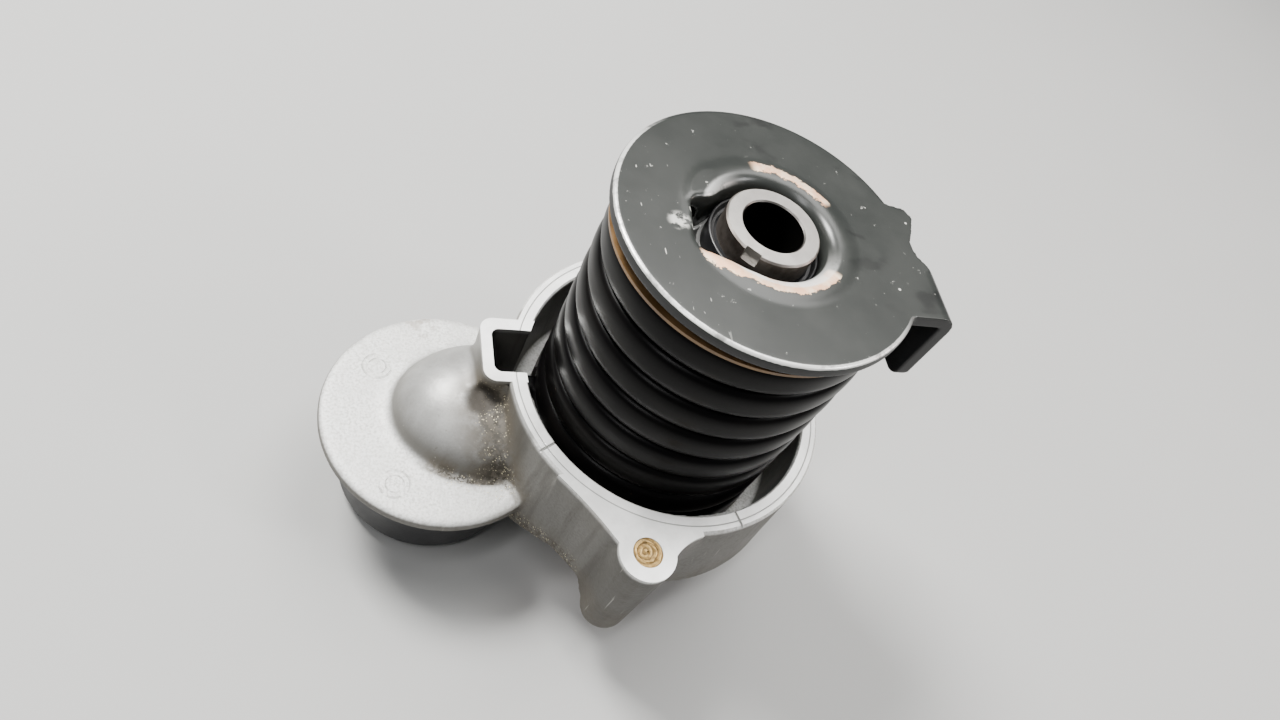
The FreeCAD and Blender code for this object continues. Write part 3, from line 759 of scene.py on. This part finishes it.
def skin_of(node, name, voxel, reshape=None):
    """New piece: an even-meshed copy of a CAD node, reshaped first where asked."""
    skin = new_piece(name, frame["nodes"][node].data.copy(), slots[node])
    if reshape:
        reshape(skin.data)
    modified(skin, "REMESH", mode="VOXEL", voxel_size=voxel)
    return skin


def finish_skin(skin, node, body, sharp_angle):
    """Shade, paint and place a skin that stands for a CAD node."""
    mesh = skin.data
    mesh.polygons.foreach_set("use_smooth", [True] * len(mesh.polygons))
    mesh.set_sharp_from_angle(angle=math.radians(sharp_angle))
    mesh.materials.clear()
    mesh.materials.append(paints[slots[node]])
    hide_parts(node)
    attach(skin, body)


# ------------------------------------------------------------ cast arm skin

ARM_VOXEL = 0.45 * MM
CUT_Z = RIM_Z - 1.5 * MM      # above it the CAD's own crisp faces are kept
CUP_INSIDE_R = 38.4 * MM
CUP_FLOOR_Z = -84 * MM
WALL_LIFT_Z = -86.6 * MM      # the outer wall is shortened below this height
WALL_FADE_R = (22 * MM, 37 * MM)
LUG_FADE_R = (7.3 * MM, 9.0 * MM)
ARM_FADE_DEG = (131, 152)     # towards the pulley the wall runs into the arm
ARM_DEG = 155
HOLLOW_PUSH = (0.35, 0.85, -0.3)
HOLLOW_DEPTH = 1.9 * MM
HOLLOW_FADE_R = (1.0 * MM, 5.0 * MM)


def lift_wall(mesh):
    """Raise the cup wall's lower edge to where the photograph shows it; lug and hub stay."""
    co = vertex_array(mesh)
    turn = np.abs(degrees_round(co))
    beside_lug = smoothstep(round_axis(co, *LUG_AT), *LUG_FADE_R)
    outer = smoothstep(round_axis(co), *WALL_FADE_R) * (turn < ARM_DEG) * beside_lug
    off_the_arm = 1 - smoothstep(turn, *ARM_FADE_DEG)
    keep = 1 - outer * (0.2 + 0.61 * off_the_arm)
    depth = np.minimum(co[:, 2] - WALL_LIFT_Z, 0)
    co[:, 2] = np.where(depth < 0, WALL_LIFT_Z + depth * keep, co[:, 2])
    put_vertices(mesh, co)


def fillet_weight(co):
    """How much each point of the casting is softened: little inside the cup, none at the rim."""
    inside = (round_axis(co) < CUP_INSIDE_R) & (co[:, 2] > CUP_FLOOR_Z)
    below = smoothstep(co[:, 2], RIM_Z - 2 * MM, RIM_Z - 7 * MM)
    weight = np.where(inside, 0.15, 1.0) * below
    return weight * (smoothstep(co[:, 2], -95.5 * MM, -90 * MM) * 0.7 + 0.3)


def press_hollow(mesh):
    """Push the hollow beside the spring-end pocket into the dome; its dark colour is painted shade and
    dirt.
    """
    co = vertex_array(mesh)
    away = np.linalg.norm(co - np.array(HOLLOW), axis=1)
    depth = HOLLOW_DEPTH * (1 - smoothstep(away, *HOLLOW_FADE_R))
    co += np.array(HOLLOW_PUSH) * depth[:, None]
    put_vertices(mesh, co)


def build_arm():
    """Cast arm: softened inside corners below a crisp machined rim."""
    arm = skin_of("arm_casting", "arm_skin", ARM_VOXEL, lift_wall)
    weight = fillet_weight(vertex_array(arm.data))
    even_smooth(arm.data, 3)
    fill_corners(arm.data, weight, 110)
    press_hollow(arm.data)
    lower = modified(arm, "DECIMATE", ratio=0.4)
    keep_side(lower, CUT_Z, above=False)
    crisp = frame["nodes"]["arm_casting"].data.copy()
    keep_side(crisp, CUT_Z, above=True)
    arm.data = joined(lower, crisp, "arm_skin")
    finish_skin(arm, "arm_casting", "arm", 38)


# ---------------------------------------------------------- base plate skin

PLATE_VOXEL = 0.36 * MM
SWELL_AT_R = 18.9 * MM
SWELL_AT_DEG = 144
SWELL_WIDTH = 1.5 * MM
SWELL_SWEEP_DEG = 17
SWELL_HEIGHT = 0.6 * MM
BELOW_TOP = 0.02 * MM


def relief_swell(co):
    """Height of a slight swell beside the well's pointed relief, at each point."""
    across = np.exp(-((round_axis(co) - SWELL_AT_R) / SWELL_WIDTH) ** 2)
    along = np.exp(-((degrees_round(co) - SWELL_AT_DEG) / SWELL_SWEEP_DEG) ** 2)
    return SWELL_HEIGHT * (across * along)


def raise_top(mesh, swell):
    """Raise the plate's top by the swell, kept inside the CAD box."""
    co = vertex_array(mesh)
    co[:, 2] += swell * (co[:, 2] > -2.0 * MM)
    co[:, 2] = np.minimum(co[:, 2], cad_box[HIGHEST][2] - BELOW_TOP)
    put_vertices(mesh, co)


def build_plate():
    """Base plate: edges of the pressed well rolled, with a swell beside its relief."""
    plate = skin_of("base_plate", "plate_skin", PLATE_VOXEL)
    co = vertex_array(plate.data)
    near = 1 - smoothstep(round_axis(co), 18.5 * MM, 21.0 * MM)
    near *= smoothstep(co[:, 2], -6.0 * MM, -3.5 * MM)
    swell = relief_swell(co)
    even_smooth(plate.data, 2)
    fill_corners(plate.data, near, 32, 0.6)
    raise_top(plate.data, swell)
    finish_skin(plate, "base_plate", "base", 50)


# -------------------------------------------------- floor, camera and lights

FLOOR_HALF = 3.0
FLOOR_GAP = 0.0002
AIM = (0, 0, -0.05)
# the camera's place, directions and lens follow the photograph's view of the plate and the rim
CAMERA_AT = (-0.09304, -0.11829, 0.12047)
CAMERA_RIGHT = (0.9293, -0.1570, 0.3343)
CAMERA_UP = (-0.0563, 0.8343, 0.5484)
CAMERA_FORWARD = (0.3650, 0.5285, -0.7665)
SENSOR_MM = 36.0
LENS_MM = 25.59375
WARM_WHITE = (1.0, 0.99, 0.96)


def build_floor():
    """Plain pale floor just under the lowest point of the CAD model."""
    half = FLOOR_HALF
    corners = [(-half, -half, 0), (half, -half, 0), (half, half, 0), (-half, half, 0)]
    mesh = bpy.data.meshes.new("floor")
    mesh.from_pydata(corners, [], [(0, 1, 2, 3)])
    floor = bpy.data.objects.new("floor", mesh)
    bpy.context.scene.collection.objects.link(floor)
    floor.location = (0, 0, cad_box[LOWEST][2] - FLOOR_GAP)
    p = Paint("floor_paint")
    tone = p.mix(p.noise(6, 3), (0.38, 0.38, 0.375), (0.41, 0.41, 0.405))
    mesh.materials.append(p.finish(tone, 0.75))


def build_camera():
    """Camera at the photograph's viewing angle."""
    data = bpy.data.cameras.new("camera")
    data.sensor_width = SENSOR_MM
    data.lens = LENS_MM
    data.clip_start = 0.005
    camera = bpy.data.objects.new("camera", data)
    back = -Vector(CAMERA_FORWARD)
    turn = Matrix((Vector(CAMERA_RIGHT), Vector(CAMERA_UP), back)).transposed().to_4x4()
    camera.matrix_world = Matrix.Translation(CAMERA_AT) @ turn
    bpy.context.scene.collection.objects.link(camera)
    bpy.context.scene.camera = camera


def area_light(name, spot, target, size, power, color=(1, 1, 1)):
    data = bpy.data.lights.new(name, "AREA")
    data.shape = "RECTANGLE"
    data.size, data.size_y = size
    data.energy = power
    data.color = color
    lamp = bpy.data.objects.new(name, data)
    lamp.location = spot
    aim = Vector(target) - Vector(spot)
    lamp.rotation_euler = aim.to_track_quat("-Z", "Y").to_euler()
    bpy.context.scene.collection.objects.link(lamp)


def build_lights():
    """Soft studio lamps and a dim even sky."""
    area_light("key", (-0.48, 0.52, 0.86), AIM, (0.34, 0.34), 34, WARM_WHITE)
    area_light("ceiling", (0.26, 0.30, 0.96), AIM, (0.72, 0.72), 15, WARM_WHITE)
    area_light("strip", (-0.46, -0.30, 0.86), AIM, (0.07, 0.7), 4.6)
    area_light("edge", (0.66, -0.34, 0.62), (0, 0, -0.02), (0.16, 0.16), 3.2)
    area_light("side", (0.82, -0.10, 0.30), (0, 0, -0.04), (0.14, 0.14), 1.6, (1.0, 0.84, 0.78))
    world = bpy.data.worlds.new("studio")
    world.use_nodes = True
    sky = world.node_tree.nodes["Background"]
    sky.inputs["Color"].default_value = (0.72, 0.75, 0.78, 1)
    sky.inputs["Strength"].default_value = 0.2
    bpy.context.scene.world = world


build_spring()
build_arm()
build_plate()
build_floor()
build_camera()
build_lights()
